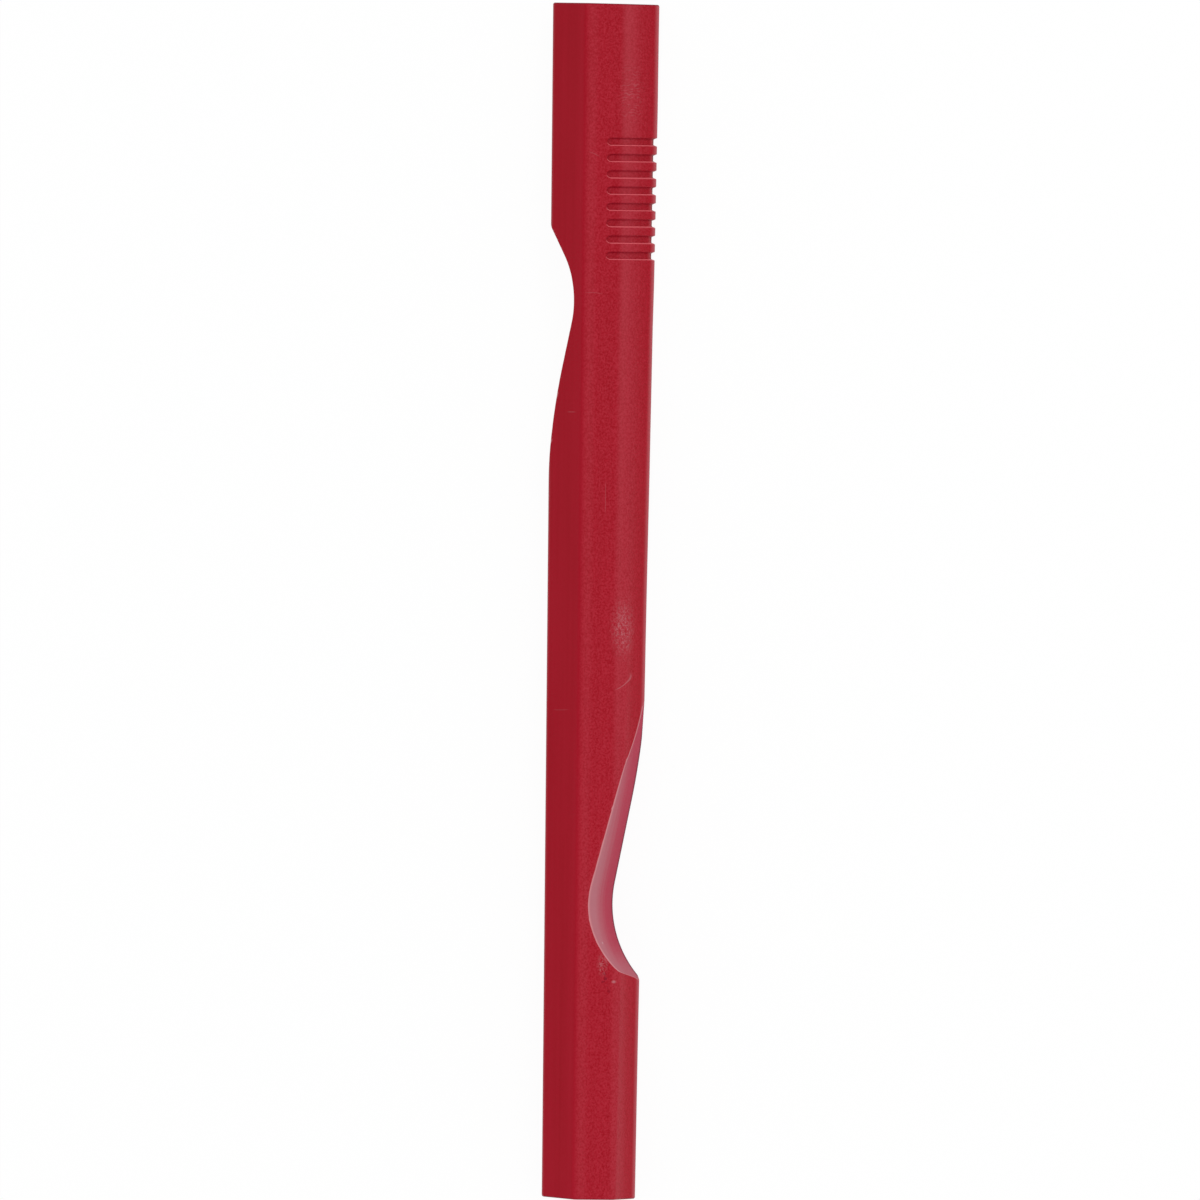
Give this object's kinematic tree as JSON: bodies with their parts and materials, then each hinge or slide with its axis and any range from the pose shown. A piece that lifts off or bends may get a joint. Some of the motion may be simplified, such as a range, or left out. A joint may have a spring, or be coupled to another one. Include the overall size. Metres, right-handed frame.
{
  "type": "hand groove scraper",
  "caption": "One-piece plastic hand scraper: a tapering bar with a ridged top, a flat back, a finger notch in each side and grip grooves over one shoulder.",
  "frame": {"origin": "middle of the flat back, under the centre of the bar's box", "axes": "+Y along the bar from the slim end to the wide end, +Z from the flat back to the ridge, +X towards the wall with the grip grooves"},
  "size_m": [0.015, 0.18, 0.0108],
  "materials": {
    "red_plastic": "satin, as machined"
  },
  "bodies": {
    "root": {"scraper_bar": "red_plastic"}
  },
  "joints": []
}
